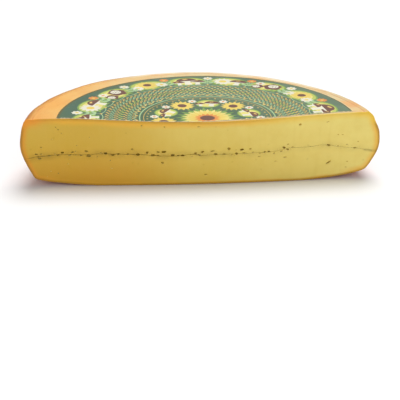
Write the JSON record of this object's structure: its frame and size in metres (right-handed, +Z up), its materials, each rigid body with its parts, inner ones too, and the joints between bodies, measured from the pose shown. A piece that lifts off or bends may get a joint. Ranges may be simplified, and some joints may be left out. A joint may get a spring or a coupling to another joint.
{
  "type": "half cheese wheel",
  "caption": "Half of a flat round semi-hard cheese: orange washed rind, pale cut face with a thin wavy dark layer at half height, round printed paper label on top.",
  "frame": {"origin": "middle of the footprint's bounding box, on the flat underside", "axes": "+Z up; X runs along the cut; the cut face points to -Y and the round rind to +Y"},
  "size_m": [0.361, 0.1906, 0.0716],
  "materials": {
    "cheese": "satin",
    "dark_layer": "matte",
    "paper_label": "satin"
  },
  "bodies": {
    "root": {"cheese": "cheese", "dark_layer": "dark_layer", "paper_label": "paper_label"}
  },
  "joints": []
}
